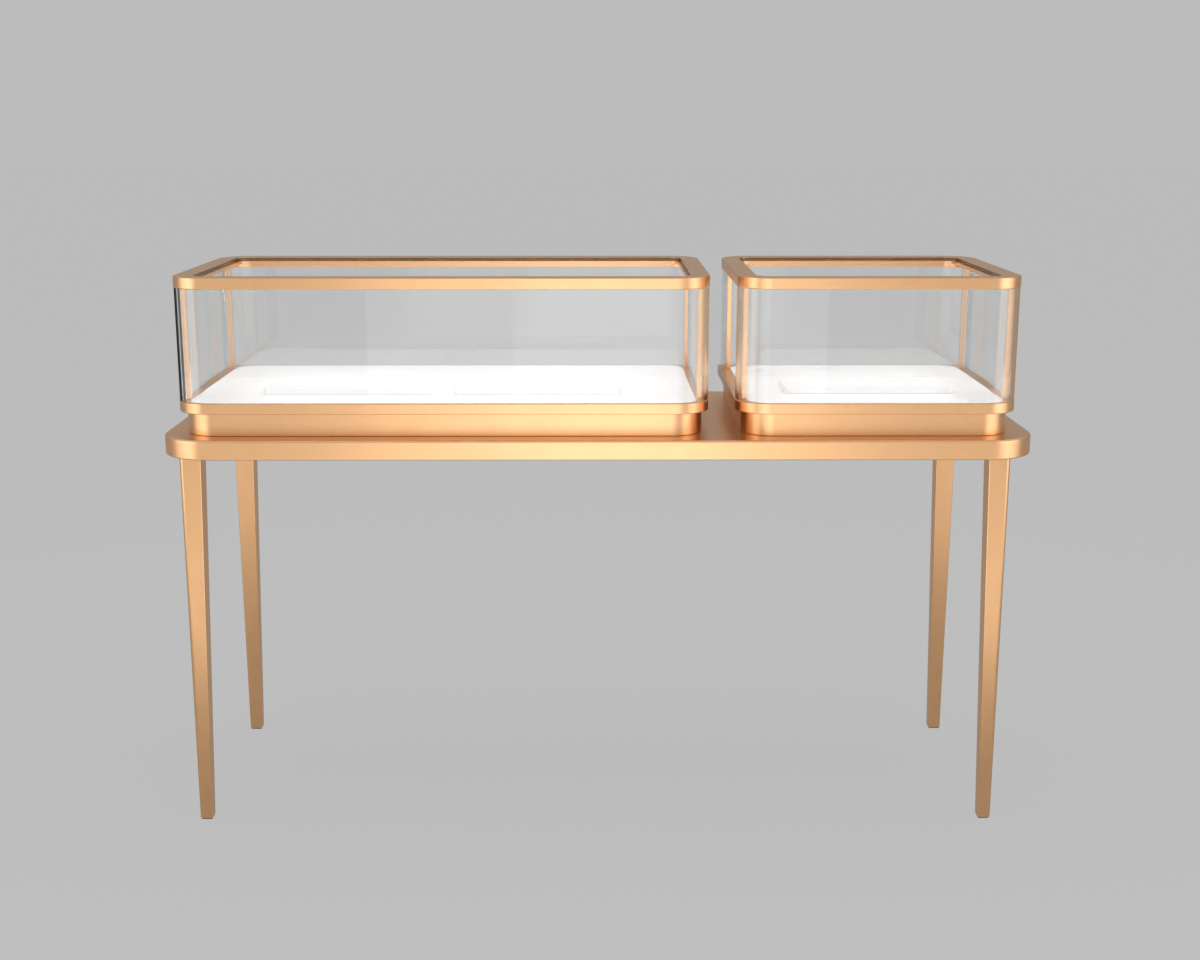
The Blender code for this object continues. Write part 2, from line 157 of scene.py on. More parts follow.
def glass(name, tint, rough, edge=False, bent=None, reach=(0.50, 0.57)):
    """Clear float glass.  Lamps shine through it as through an open pane, and it is
    coated against glare, so that it mirrors little where it is seen at a slant.  Where a bent
    pane is seen along its bend, the colour given as bent is laid on it as a painted reflection."""
    m, nt, b, out = new_material(name)
    obj = nt.nodes.new("ShaderNodeTexCoord").outputs["Object"]
    facing = put(nt, "ShaderNodeLayerWeight", Blend=0.5).outputs["Facing"]
    smear = noise(nt, obj, 9.0, 5.0, 0.62, 1.0)
    b.inputs["Base Color"].default_value = (*tint, 1.0)
    b.inputs["Transmission Weight"].default_value = 1.0
    b.inputs["Roughness"].default_value = rough
    b.inputs["IOR"].default_value = 1.5
    shader = b.outputs["BSDF"]
    if edge:
        nt.links.new(ramp(nt, noise(nt, obj, 260.0, 3.0), 0.3, 0.7, rough * 0.7, rough * 1.3),
                     b.inputs["Roughness"])
        see = put(nt, "ShaderNodeBsdfTransparent", Color=(0.93, 0.95, 0.943, 1.0)).outputs["BSDF"]
        shader = put(nt, "ShaderNodeMixShader", i0=0.92, i1=shader, i2=see).outputs["Shader"]
    else:
        open_pane = put(nt, "ShaderNodeBsdfTransparent", Color=(0.985, 0.985, 0.985, 1.0)).outputs["BSDF"]
        slant = ramp(nt, facing, 0.22, 0.80, 0.12, 0.98, "SMOOTHSTEP")
        prints = ramp(nt, smear, 0.50, 0.80, 0.0, 0.06)
        shader = put(nt, "ShaderNodeMixShader", i0=calc(nt, "MINIMUM", calc(nt, "ADD", slant, prints), 1.0),
                     i1=shader, i2=open_pane).outputs["Shader"]
    # painted reflection: where the pane is seen along its bend, a glossy sheen tinted with the colour bent
    # is mixed in
    if bent:
        painted_reflection = put(nt, "ShaderNodeBsdfGlossy", Color=(*bent, 1.0), Roughness=0.22)
        painted_reflection_strip = calc(nt, "SUBTRACT", ramp(nt, facing, *reach, 0.0, 0.90, "SMOOTHSTEP"),
                     ramp(nt, smear, 0.5, 0.8, 0.0, 0.06))
        shader = put(nt, "ShaderNodeMixShader", i0=calc(nt, "MAXIMUM", painted_reflection_strip, 0.0), i1=shader,
                     i2=painted_reflection.outputs["BSDF"]).outputs["Shader"]
    clear = put(nt, "ShaderNodeBsdfTransparent", Color=(0.97, 0.972, 0.971, 1.0)).outputs["BSDF"]
    path = nt.nodes.new("ShaderNodeLightPath")
    pick = calc(nt, "MAXIMUM", path.outputs["Is Shadow Ray"], path.outputs["Is Diffuse Ray"])
    sh = put(nt, "ShaderNodeMixShader", i0=pick, i1=shader, i2=clear)
    nt.links.new(sh.outputs["Shader"], out.inputs["Surface"])
    return m


def lacquer(name, colour, rough):
    m, nt, b, out = new_material(name)
    obj = nt.nodes.new("ShaderNodeTexCoord").outputs["Object"]
    edge = put(nt, "ShaderNodeAttribute", {"attribute_name": "edge"}).outputs["Fac"]
    cloud = noise(nt, obj, 6.0, 4.0, 0.5)
    peel = noise(nt, obj, 210.0, 2.0, 0.5)
    scuff = noise(nt, place(nt, obj, (60.0, 9.0, 9.0)), 1.0, 6.0, 0.7, 0.6)
    dust = noise(nt, obj, 900.0, 1.0, 0.5)
    col = mix(nt, ramp(nt, cloud, 0.3, 0.7), tuple(c * 0.975 for c in colour), colour)
    col = mix(nt, calc(nt, "MULTIPLY", ramp(nt, dust, 0.70, 0.78), 0.05), col, (0.62, 0.60, 0.57))
    col = mix(nt, calc(nt, "MULTIPLY", edge, 0.05), col, (0.80, 0.78, 0.75))
    nt.links.new(col, b.inputs["Base Color"])
    r = calc(nt, "ADD", ramp(nt, cloud, 0.3, 0.7, rough - 0.03, rough + 0.03),
             ramp(nt, scuff, 0.60, 0.90, 0.0, 0.02))
    nt.links.new(r, b.inputs["Roughness"])
    b.inputs["Coat Weight"].default_value = 0.3
    b.inputs["Coat Roughness"].default_value = 0.18
    nt.links.new(bump(nt, peel, 0.00002, 0.3), b.inputs["Normal"])
    return m


def board():
    m, nt, b, out = new_material("board_core")
    obj = nt.nodes.new("ShaderNodeTexCoord").outputs["Object"]
    chips = put(nt, "ShaderNodeTexVoronoi", Vector=place(nt, obj, (1.0, 1.0, 2.4)), Scale=260.0,
                Randomness=1.0)
    fibre = noise(nt, place(nt, obj, (1.0, 1.0, 4.0)), 480.0, 4.0, 0.65)
    stain = noise(nt, obj, 3.5, 4.0, 0.6)
    tone = calc(nt, "ADD", calc(nt, "MULTIPLY", chips.outputs["Color"], 0.6),
                calc(nt, "MULTIPLY", fibre, 0.5))
    col = mix(nt, ramp(nt, tone, 0.2, 0.9), (0.16, 0.105, 0.065), (0.40, 0.29, 0.19))
    col = mix(nt, ramp(nt, stain, 0.45, 0.75, 0.0, 0.35), col, (0.15, 0.11, 0.08))
    nt.links.new(col, b.inputs["Base Color"])
    nt.links.new(ramp(nt, fibre, 0.3, 0.7, 0.55, 0.8), b.inputs["Roughness"])
    nt.links.new(bump(nt, tone, 0.0003, 0.7), b.inputs["Normal"])
    return m


def zinc():
    m, nt, b, out = new_material("zinc_steel")
    obj = nt.nodes.new("ShaderNodeTexCoord").outputs["Object"]
    cells = put(nt, "ShaderNodeTexVoronoi", Vector=obj, Scale=170.0, Randomness=1.0)
    drawn = noise(nt, place(nt, obj, (900.0, 9.0, 900.0)), 1.0, 3.0, 0.6)
    grime = noise(nt, obj, 28.0, 5.0, 0.65)
    col = mix(nt, cells.outputs["Color"], (0.50, 0.52, 0.54), (0.70, 0.71, 0.73))
    col = mix(nt, ramp(nt, grime, 0.52, 0.72, 0.0, 0.5), col, (0.22, 0.21, 0.20))
    nt.links.new(col, b.inputs["Base Color"])
    b.inputs["Metallic"].default_value = 1.0
    r = calc(nt, "ADD", ramp(nt, cells.outputs["Distance"], 0.0, 0.8, 0.28, 0.42),
             ramp(nt, grime, 0.5, 0.75, 0.0, 0.2))
    nt.links.new(r, b.inputs["Roughness"])
    nt.links.new(bump(nt, drawn, 0.00008, 0.5), b.inputs["Normal"])
    return m


def chrome():
    m, nt, b, out = new_material("lock_chrome")
    uv = nt.nodes.new("ShaderNodeUVMap").outputs["UV"]
    obj = nt.nodes.new("ShaderNodeTexCoord").outputs["Object"]
    turned_marks = noise(nt, place(nt, uv, (3.0, 4200.0, 1.0)), 1.0, 2.0, 0.6)
    wear = noise(nt, obj, 240.0, 5.0, 0.7, 0.8)
    edge = put(nt, "ShaderNodeAttribute", {"attribute_name": "edge"}).outputs["Fac"]
    col = mix(nt, ramp(nt, wear, 0.35, 0.7), (0.66, 0.67, 0.68), (0.82, 0.82, 0.83))
    col = mix(nt, calc(nt, "MULTIPLY", edge, 0.4), col, (0.90, 0.90, 0.90))
    nt.links.new(col, b.inputs["Base Color"])
    b.inputs["Metallic"].default_value = 1.0
    nt.links.new(calc(nt, "ADD", ramp(nt, wear, 0.45, 0.75, 0.10, 0.24),
                      ramp(nt, turned_marks, 0.3, 0.7, -0.02, 0.04)), b.inputs["Roughness"])
    nt.links.new(bump(nt, turned_marks, 0.00003, 0.6), b.inputs["Normal"])
    return m


def nylon():
    m, nt, b, out = new_material("nylon_pad")
    obj = nt.nodes.new("ShaderNodeTexCoord").outputs["Object"]
    grain = noise(nt, obj, 850.0, 3.0, 0.6)
    dirt = noise(nt, obj, 120.0, 5.0, 0.65)
    col = mix(nt, ramp(nt, dirt, 0.35, 0.7), (0.085, 0.078, 0.072), (0.16, 0.15, 0.14))
    nt.links.new(col, b.inputs["Base Color"])
    nt.links.new(ramp(nt, dirt, 0.3, 0.7, 0.42, 0.62), b.inputs["Roughness"])
    nt.links.new(bump(nt, grain, 0.00012, 0.6), b.inputs["Normal"])
    return m


GOLD_A, GOLD_B = (0.905, 0.53, 0.27), (0.865, 0.495, 0.245)
SATIN = gold("satin_rose_gold_steel", GOLD_A, GOLD_B, 0.32, 0.08)
PROFILE = gold("satin_rose_gold_profile", GOLD_A, GOLD_B, 0.31, 0.08)
# the rebate's inner face is painted dark brown: painted shade in the frame's recess
REBATE_PAINTED_SHADE = gold("rebate_painted_shade", (0.34, 0.20, 0.115), (0.25, 0.145, 0.08), 0.52, 0.0, streak=0.5,
              lighter=0.15)
BRIGHT = gold("polished_rose_gold", (0.92, 0.56, 0.30), (0.88, 0.52, 0.27), 0.16, 0.1,
              streak=0.35, lighter=0.3)
PANE = glass("clear_glass", (0.966, 0.968, 0.968), 0.0)
PANE_EDGE = glass("clear_glass_ground_edge", (0.86, 0.93, 0.91), 0.03, edge=True)
# the bent panes carry a painted reflection, gold for the posts beside them, near black at the far left
# corner
PANE_PAINTED_GOLD_REFLECTION = glass("bent_glass_painted_gold_reflection", (0.966, 0.968, 0.968), 0.0, bent=(0.93, 0.60, 0.36))
PANE_PAINTED_DARK_REFLECTION = glass("bent_glass_painted_dark_reflection", (0.966, 0.968, 0.968), 0.0, bent=(0.03, 0.03, 0.032),
                       reach=(0.60, 0.64))
WHITE = lacquer("white_lacquer", (0.95, 0.95, 0.948), 0.30)
BOARD, STEEL, CHROME, NYLON = board(), zinc(), chrome(), nylon()
# near-black painted shade for the key slot and the plug's hidden back
KEY_SLOT_PAINTED_SHADE, _dnt, _db, _do = new_material("key_slot_painted_shade")
_dn = noise(_dnt, _dnt.nodes.new("ShaderNodeTexCoord").outputs["Object"], 500.0, 3.0)
_dnt.links.new(mix(_dnt, _dn, (0.015, 0.014, 0.013), (0.05, 0.048, 0.045)), _db.inputs["Base Color"])
_dnt.links.new(ramp(_dnt, _dn, 0.3, 0.7, 0.35, 0.6), _db.inputs["Roughness"])


# ---------------------------------------------------------------- outlines and profiles, mm
def arc(cx, cy, r, a0, a1, n=SEG):
    return [(cx + r * cos(radians(a0 + (a1 - a0) * k / n)),
             cy + r * sin(radians(a0 + (a1 - a0) * k / n))) for k in range(n + 1)]


def round_rect(x0, x1, y0, y1, r, n=SEG):
    r = max(r, 0.3)
    return (arc(x1 - r, y1 - r, r, 0, 90, n) + arc(x0 + r, y1 - r, r, 90, 180, n)
            + arc(x0 + r, y0 + r, r, 180, 270, n) + arc(x1 - r, y0 + r, r, 270, 360, n))


def fillet(poly, n=5):
    """Closed profile [(inset, z, radius)] with rounded corners -> [(inset, z, edge)]."""
    out = []
    m = len(poly)
    for k, (u, v, r) in enumerate(poly):
        if r <= 0:
            out.append((u, v, 0.0))
            continue
        p = Vector((u, v))
        a = (Vector(poly[k - 1][:2]) - p).normalized()
        b = (Vector(poly[(k + 1) % m][:2]) - p).normalized()
        half = a.angle(b) / 2
        c = p + (a + b).normalized() * (r / sin(half))
        va, vb = p + a * (r / tan(half)) - c, p + b * (r / tan(half)) - c
        a0 = atan2(va.y, va.x)
        turn = (atan2(vb.y, vb.x) - a0 + pi) % (2 * pi) - pi
        for q in range(n + 1):
            t = a0 + turn * q / n
            out.append((c.x + r * cos(t), c.y + r * sin(t), 0.0 if q in (0, n) else 1.0))
    return out


# ---------------------------------------------------------------- mesh builders
class Shape:
    """Collects swept and stacked bodies, with UVs in metres, into one mesh."""

    def __init__(self):
        self.bm = bmesh.new()
        self.uv = self.bm.loops.layers.uv.new("UVMap")
        self.edge = self.bm.verts.layers.float.new("edge")

    def ring(self, pts, z, e=0.0):
        vs = []
        for p in pts:
            v = self.bm.verts.new((p[0] * MM, p[1] * MM, (p[2] if len(p) > 2 else z) * MM))
            v[self.edge] = e
            vs.append(v)
        return vs

    def skin(self, rings, around, across, closed_path, closed_profile, swap=False):
        m = len(rings)
        for i in range(m if closed_profile else m - 1):
            a, b = rings[i], rings[(i + 1) % m]
            n = len(a)
            for k in range(n if closed_path else n - 1):
                q = (k + 1) % n
                f = self.bm.faces.new((a[k], a[q], b[q], b[k]))
                s0, s1, t0, t1 = around[k], around[k + 1], across[i], across[i + 1]
                uvs = ((s0, t0), (s1, t0), (s1, t1), (s0, t1))
                for loop, w in zip(f.loops, uvs):
                    loop[self.uv].uv = (w[1], w[0]) if swap else w

    def cap(self, ring, u=0, v=1):
        f = self.bm.faces.new(ring)
        for loop in f.loops:
            loop[self.uv].uv = (loop.vert.co[u], loop.vert.co[v])

    @staticmethod
    def lengths(pts, closed):
        s = [0.0]
        m = len(pts)
        for k in range(m if closed else m - 1):
            a, b = pts[k], pts[(k + 1) % m]
            s.append(s[-1] + sqrt(sum((i - j) ** 2 for i, j in zip(a, b))) * MM)
        return s

    def band(self, lines, closed_path):
        """Closed profile, each line [(points, z, edge)], carried along a path."""
        mid = len(lines[0][0]) // 2
        around = self.lengths(lines[0][0], closed_path)
        across = self.lengths([(*l[0][mid], l[1]) for l in lines], True)
        rings = [self.ring(p, z, e) for p, z, e in lines]
        self.skin(rings, around, across, closed_path, True)
        if not closed_path:
            self.cap([r[0] for r in rings], 0, 2)
            self.cap([r[-1] for r in rings], 0, 2)
        return self

    def stack(self, lines, swap=False, cap_uv=(0, 1)):
        """Rings on top of each other, capped at both ends."""
        around = self.lengths(lines[0][0], True)
        across = self.lengths([(*l[0][0], l[1]) for l in lines], False)
        rings = [self.ring(p, z, e) for p, z, e in lines]
        self.skin(rings, around, across, True, False, swap)
        self.cap(rings[0], *cap_uv)
        self.cap(rings[-1], *cap_uv)
        return self

    def done(self, name, mats, body, slot, nodes, sharp=32.0, pick=None):
        bmesh.ops.recalc_face_normals(self.bm, faces=self.bm.faces[:])
        me = bpy.data.meshes.new(name)
        self.bm.to_mesh(me)
        self.bm.free()
        me.shade_smooth()
        me.set_sharp_from_angle(angle=radians(sharp))
        ob = bpy.data.objects.new(name, me)
        bpy.context.scene.collection.objects.link(ob)
        for m in mats:
            me.materials.append(m)
        if pick:
            for p in me.polygons:
                p.material_index = int(pick(p.normal, p.center * 1000.0))
        w = ob.modifiers.new("normals", "WEIGHTED_NORMAL")
        w.keep_sharp = True
        w.weight = 80
        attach(ob, body)
        if nodes:
            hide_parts(*nodes)
        return ob


def cut(ob, shape):
    """Takes a second shape out of a piece for good."""
    bmesh.ops.recalc_face_normals(shape.bm, faces=shape.bm.faces[:])
    me = bpy.data.meshes.new("cutter")
    shape.bm.to_mesh(me)
    shape.bm.free()
    for m in ob.data.materials:
        me.materials.append(m)
    tool = bpy.data.objects.new("cutter", me)
    bpy.context.scene.collection.objects.link(tool)
    mod = ob.modifiers.new("cut", "BOOLEAN")
    mod.operation = "DIFFERENCE"
    mod.object = tool
    mod.solver = "EXACT"
    weighted = ob.modifiers.get("normals")
    if weighted:
        ob.modifiers.remove(weighted)
    bpy.context.view_layer.update()
    dg = bpy.context.evaluated_depsgraph_get()
    fresh = bpy.data.meshes.new_from_object(ob.evaluated_get(dg), preserve_all_data_layers=True,
                                            depsgraph=dg)
    ob.modifiers.clear()
    old = ob.data
    ob.data = fresh
    bpy.data.meshes.remove(old)
    bpy.data.objects.remove(tool)
    bpy.data.meshes.remove(me)
    ob.data.shade_smooth()
    ob.data.set_sharp_from_angle(angle=radians(32))
    w = ob.modifiers.new("normals", "WEIGHTED_NORMAL")
    w.keep_sharp = True
    return ob


def lathe_y(shape, profile, xm, lz, n=72):
    """Body turned about an axis along Y: profile [(radius, y, edge)]."""
    rings, lines = [], []
    for r, y, e in profile:
        pts = [(xm + r * cos(2 * pi * k / n), y, lz + r * sin(2 * pi * k / n)) for k in range(n)]
        rings.append(shape.ring(pts, 0.0, e))
        lines.append((r, y))
    around = [k * 2 * pi * 0.01 / n for k in range(n + 1)]
    shape.skin(rings, around, shape.lengths(lines, False), True, False)
    shape.cap(rings[0], 0, 2)
    shape.cap(rings[-1], 0, 2)
    return shape


# ---------------------------------------------------------------- table
def table():
    def outline(i):
        return round_rect(-HW + i, HW - i, -HD + i, HD - i, TABLE_R - i, 32)

    r1, r2, n = 4.5, 2.0, 8
    lines = [(outline(LIP), TOP - SHEET, 0.0), (outline(LIP), UNDER + 0.4, 0.0),
             (outline(LIP - 0.4), UNDER, 1.0)]
    for k in range(n + 1):
        a = radians(90.0 * k / n)
        lines.append((outline(r2 - r2 * sin(a)), UNDER + r2 - r2 * cos(a), float(0 < k < n)))
    for k in range(n + 1):
        a = radians(90.0 * k / n)
        lines.append((outline(r1 - r1 * cos(a)), TOP - r1 + r1 * sin(a), float(0 < k < n)))
    Shape().stack(lines).done("vis_tabletop", [SATIN], "stand", "satin_rose_gold_steel",
                              ["tabletop"])

    for sx, nx in ((-1, "left"), (1, "right")):
        for sy, ny in ((-1, "front"), (1, "rear")):
            tag = ny + "_" + nx
            lo, hi = mmbox("leg_" + tag)
            xo = hi[0] if sx > 0 else lo[0]
            yo = max(abs(lo[1]), abs(hi[1]))
            z0, z1 = lo[2], hi[2]
            top, foot, wall = 38.0, 23.0, 2.5

            def section(z, off, sx=sx, sy=sy, xo=xo, yo=yo, z1=z1):
                size = foot + (top - foot) * z / z1
                x_o, y_o = sx * xo - off, yo - off
                x_i, y_i = sx * xo - size + off, yo - size + off
                big, small = max(8.0 - off, 0.8), max(1.8 - off, 0.25)
                pts = (arc(x_o - big, y_o - big, big, 0, 90, 12)
                       + arc(x_i + small, y_o - small, small, 90, 180, 5)
                       + arc(x_i + small, y_i + small, small, 180, 270, 5)
                       + arc(x_o - small, y_i + small, small, 270, 360, 5))
                return [(sx * x, sy * y) for x, y in pts]

            levels = [(z1, 0.6, 1.0), (z1 - 0.6, 0.0, 0.0)]
            levels += [(z0 + (z1 - 0.6 - z0) * (11 - k) / 12, 0.0, 0.0) for k in range(11)]
            levels += [(z0 + 0.7, 0.0, 0.0), (z0 + 0.2, 0.2, 1.0), (z0, 0.7, 0.0),
                       (z0, wall, 0.0), (652.0, wall, 0.0)]
            Shape().stack([(section(z, off), z, e) for z, off, e in levels], swap=True).done(
                "vis_leg_" + tag, [SATIN], "stand", "satin_rose_gold_steel", ["leg_" + tag])


# ---------------------------------------------------------------- cases
def case(c):
    rim_lo, rim_hi = mmbox(c + "_rim")
    pl_lo, pl_hi = mmbox(c + "_plinth")
    fr_lo, fr_hi = mmbox(c + "_top_frame")
    dk_lo, dk_hi = mmbox(c + "_deck")
    gf_lo, gf_hi = mmbox(c + "_glass_front")
    gr_lo, gr_hi = mmbox(c + "_glass_rear")
    fa_lo, fa_hi = mmbox(c + "_rear_fascia")
    x0, x1, hy = rim_lo[0], rim_hi[0], -rim_lo[1]
    xm = (x0 + x1) / 2
    z0, z1, side_end = rim_lo[2], rim_hi[2], rim_hi[1]
    body, tray = "stand", TRAYS[c]

    def u_path(side, front, r, y_end, rear=False):
        ya = -hy + front + r
        pts = ([(x0 + side, y_end)] + arc(x0 + side + r, ya, r, 180, 270)
               + arc(x1 - side - r, ya, r, 270, 360) + [(x1 - side, y_end)])
        return [(x, -y) for x, y in pts] if rear else pts

    def rim(i, y_end=side_end, rear=False):
        return u_path(i, i, CASE_R - i, y_end, rear)

    dx, dy = dk_lo[0] - x0, dk_lo[1] + hy

    def ledge(i):
        return u_path(dx - 0.4 + i, dy - 0.4 + i, DECK_R + 0.4 - i, side_end)

    # plinth
    pin = pl_lo[0] - x0

    def plinth(i):
        return u_path(pin + i, pin + i, PLINTH_R - i, side_end)

    prof = fillet([(0, pl_lo[2], 0.8), (0, pl_hi[2], 0.8), (12, pl_hi[2], 0.5), (12, pl_lo[2], 0.5)], 4)
    Shape().band([(plinth(i), z, e) for i, z, e in prof], False).done(
        "vis_%s_plinth" % c, [PROFILE], body, "satin_rose_gold_profile", [c + "_plinth"])

    # rim with its ledge
    outer = fillet([(8, z0, 0), (0, z0, 1.3), (0, z1, 1.3), (8, z1, 0)], 6)[1:-1]
    lines = [(rim(i), z, e) for i, z, e in outer]
    lines += [(ledge(-0.5), z1, 0.0), (ledge(-0.15), z1 - 0.15, 1.0), (ledge(0.0), z1 - 0.5, 0.0),
              (ledge(0.0), z0, 0.0)]
    Shape().band(lines, False).done("vis_%s_rim" % c, [PROFILE], body, "satin_rose_gold_profile",
                                    [c + "_rim"])

    # rear fascia: the rim's rear run over the lower face
    ya, yb, t = fa_lo[1], hy - pin, 14.0

    def upper(i):
        cx, cy, ri = dx + DECK_R, hy - dy - DECK_R, DECK_R + 0.3 + i
        r = 1.5
        return ([(x0 + i, ya + i)] + arc(x0 + i + r, hy - i - r, r, 180, 90, 6)
                + arc(x1 - i - r, hy - i - r, r, 90, 0, 6) + [(x1 - i, ya + i)]
                + [(x1 - dx + 0.3 + i, ya + i)]
                + [p for p in arc(x1 - cx, cy, ri, 0, 90) if p[1] > ya + 1.2]
                + [p for p in arc(x0 + cx, cy, ri, 90, 180) if p[1] > ya + 1.2]
                + [(x0 + dx - 0.3 - i, ya + i)])

    def lower(i):
        a, b = x0 + pin, x1 - pin
        r = 1.2
        return ([(a + i, ya + i)] + arc(a + i + r, yb - i - r, r, 180, 90, 6)
                + arc(b - i - r, yb - i - r, r, 90, 0, 6)
                + [(b - i, ya + i), (b - t + i, ya + i), (b - t + i, yb - t + i),
                   (a + t - i, yb - t + i), (a + t - i, ya + i)])

    s = Shape()
    s.stack([(lower(0.8), fa_lo[2], 0.0), (lower(0.25), fa_lo[2] + 0.25, 1.0),
             (lower(0.0), fa_lo[2] + 0.8, 0.0), (lower(0.0), z0 - 0.5, 0.0)])
    fascia = s.done("vis_%s_rear_fascia" % c, [PROFILE], tray, "satin_rose_gold_profile",
                    [c + "_rear_fascia"])
    lock_lo, lock_hi = mmbox(c + "_lock_cylinder")
    lz, lock_r = (lock_lo[2] + lock_hi[2]) / 2, (lock_hi[2] - lock_lo[2]) / 2
    cut(fascia, lathe_y(Shape(), [(9.9, yb - t - 6, 0), (9.9, yb + 6, 0)], xm, lz))
    top = Shape()
    top.stack([(upper(1.2), z0 - 0.5, 0.0), (upper(0.35), z0 - 0.15, 1.0), (upper(0.0), z0 + 0.7, 0.0),
               (upper(0.0), z1 - 1.2, 0.0), (upper(0.35), z1 - 0.35, 1.0), (upper(1.2), z1, 0.0)])
    top.done("vis_%s_rear_fascia_rail" % c, [PROFILE], tray, "satin_rose_gold_profile",
             [c + "_rear_fascia"])

    # lock cylinder with its flange and key slot
    y_back = lock_lo[1]
    prof = [(9.2, y_back, 0), (9.5, y_back + 0.3, 1), (9.5, yb + 0.3, 0), (lock_r - 0.2, yb + 0.3, 0),
            (lock_r, yb + 0.5, 1), (lock_r, yb + 1.3, 0), (lock_r - 0.25, yb + 1.9, 1),
            (lock_r - 0.9, yb + 2.35, 1), (lock_r - 1.6, yb + 2.5, 0), (7.0, yb + 2.5, 0),
            (6.75, yb + 2.4, 1), (6.6, yb + 1.9, 0), (6.3, yb + 1.9, 0), (6.15, yb + 2.2, 1),
            (5.8, yb + 2.35, 0)]
    prof = [(r, min(y, lock_hi[1]), e) for r, y, e in prof]
    plug = lathe_y(Shape(), prof, xm, lz).done(
        "vis_%s_lock_cylinder" % c, [CHROME, KEY_SLOT_PAINTED_SHADE], c + "_lock", "lock_chrome", [c + "_lock_cylinder"])
    slot_pts = round_rect(xm - 0.95, xm + 0.95, lz - 4.2, lz + 4.2, 0.9, 5)
    slot = Shape()
    rings = [slot.ring([(x, y, z) for x, z in slot_pts], 0.0) for y in (yb - 5.0, yb + 5.0)]
    slot.skin(rings, slot.lengths(slot_pts, True), [0.0, 0.01], True, False)
    slot.cap(rings[0], 0, 2)
    slot.cap(rings[1], 0, 2)
    cut(plug, slot)
    # the key slot's walls and the plug's hidden back take the painted shade
    for p in plug.data.polygons:
        q = p.center
        if abs(q.x - xm * MM) < 1.1 * MM and abs(q.z - lz * MM) < 4.4 * MM and abs(p.normal.y) < 0.5 \
                or (p.normal.y > 0.5 and q.y < (yb - 4.0) * MM):
            p.material_index = 1

    # deck and risers
    def deck(i):
        return round_rect(dk_lo[0] + i, dk_hi[0] - i, dk_lo[1] + i, dk_hi[1] - i, DECK_R - i)

    Shape().stack([(deck(0.4), dk_lo[2], 0.0), (deck(0.0), dk_lo[2] + 0.4, 0.0),
                   (deck(0.0), dk_hi[2] - 0.8, 0.0), (deck(0.12), dk_hi[2] - 0.36, 1.0),
                   (deck(0.4), dk_hi[2] - 0.08, 1.0), (deck(0.9), dk_hi[2], 0.0)]).done(
        "vis_%s_deck" % c, [WHITE], tray, "white_lacquer", [c + "_deck"])
    for name in (("left_riser_a", "left_riser_b") if c == "left" else ("right_riser",)):
        lo, hi = mmbox(name)

        def ring(i, lo=lo, hi=hi):
            return round_rect(lo[0] + i, hi[0] - i, lo[1] + i, hi[1] - i, 12.0 - i, 10)

        lines = [(ring(0.3), lo[2], 0.0), (ring(0.0), lo[2] + 0.3, 0.0)]
        for k in range(7):
            a = radians(15.0 * k)
            lines.append((ring(1.5 - 1.5 * cos(a)), hi[2] - 1.5 + 1.5 * sin(a), float(0 < k < 6) * 0.5))
        Shape().stack(lines).done("vis_" + name, [WHITE], tray, "white_lacquer", [name])

    # posts
    for tag in ("front_left", "front_right", "rear_left", "rear_right"):
        lo, hi = mmbox(c + "_post_" + tag)

        def ring(i, lo=lo, hi=hi):
            return round_rect(lo[0] + i, hi[0] - i, lo[1] + i, hi[1] - i, 1.1 - i, 6)

        Shape().stack([(ring(0.3), lo[2], 0.0), (ring(0.0), lo[2] + 0.3, 0.0),
                       (ring(0.0), hi[2] - 0.3, 0.0), (ring(0.3), hi[2], 0.0)], swap=True).done(
            "vis_%s_post_%s" % (c, tag), [BRIGHT], body, "polished_rose_gold", [c + "_post_" + tag])

    # glass: two bent panes, two flat panes, and the lid
    gin, gt = gf_lo[0] - x0, 6.0

    def pane(lo, hi, y_end, rear):
        prof = fillet([(gin, lo[2], 0.4), (gin, hi[2], 0.4), (gin + gt, hi[2], 0.4),
                       (gin + gt, lo[2], 0.4)], 2)
        return [(rim(i, y_end, rear), z, 0.0) for i, z, e in prof]

    Shape().band(pane(gf_lo, gf_hi, gf_hi[1], False), False).done(
        "vis_%s_glass_front" % c, [PANE, PANE_EDGE, PANE_PAINTED_GOLD_REFLECTION, PANE_PAINTED_DARK_REFLECTION], body, "clear_glass",
        [c + "_glass_front"],
        # slot 2 is the painted gold reflection, slot 3 the painted dark reflection at the far left corner
        pick=lambda n, p: 1 if abs(n.z) > 0.6 or (n.y > 0.9 and p.y > gf_hi[1] - 0.1)
        else 0 if abs(n.x) <= 0.02 or abs(n.y) <= 0.02 else 3 if p.x < -HW + 100.0 else 2)
    Shape().band(pane(gr_lo, gr_hi, -gr_lo[1], True), False).done(
        "vis_%s_glass_rear" % c, [PANE, PANE_EDGE], tray, "clear_glass",
        [c + "_glass_rear"],
        pick=lambda n, p: abs(n.z) > 0.6 or (n.y < -0.9 and p.y < gr_lo[1] + 0.1))
    for tag in ("left", "right"):
        lo, hi = mmbox(c + "_glass_side_" + tag)

        def ring(i, lo=lo, hi=hi):
            return round_rect(lo[0] + i, hi[0] - i, lo[1] + i, hi[1] - i, 0.5, 2)

        Shape().stack([(ring(0.4), lo[2], 0.0), (ring(0.0), lo[2] + 0.4, 0.0),
                       (ring(0.0), hi[2] - 0.4, 0.0), (ring(0.4), hi[2], 0.0)]).done(
            "vis_%s_glass_side_%s" % (c, tag), [PANE, PANE_EDGE], body, "clear_glass",
            [c + "_glass_side_" + tag], pick=lambda n, p: abs(n.x) < 0.6)

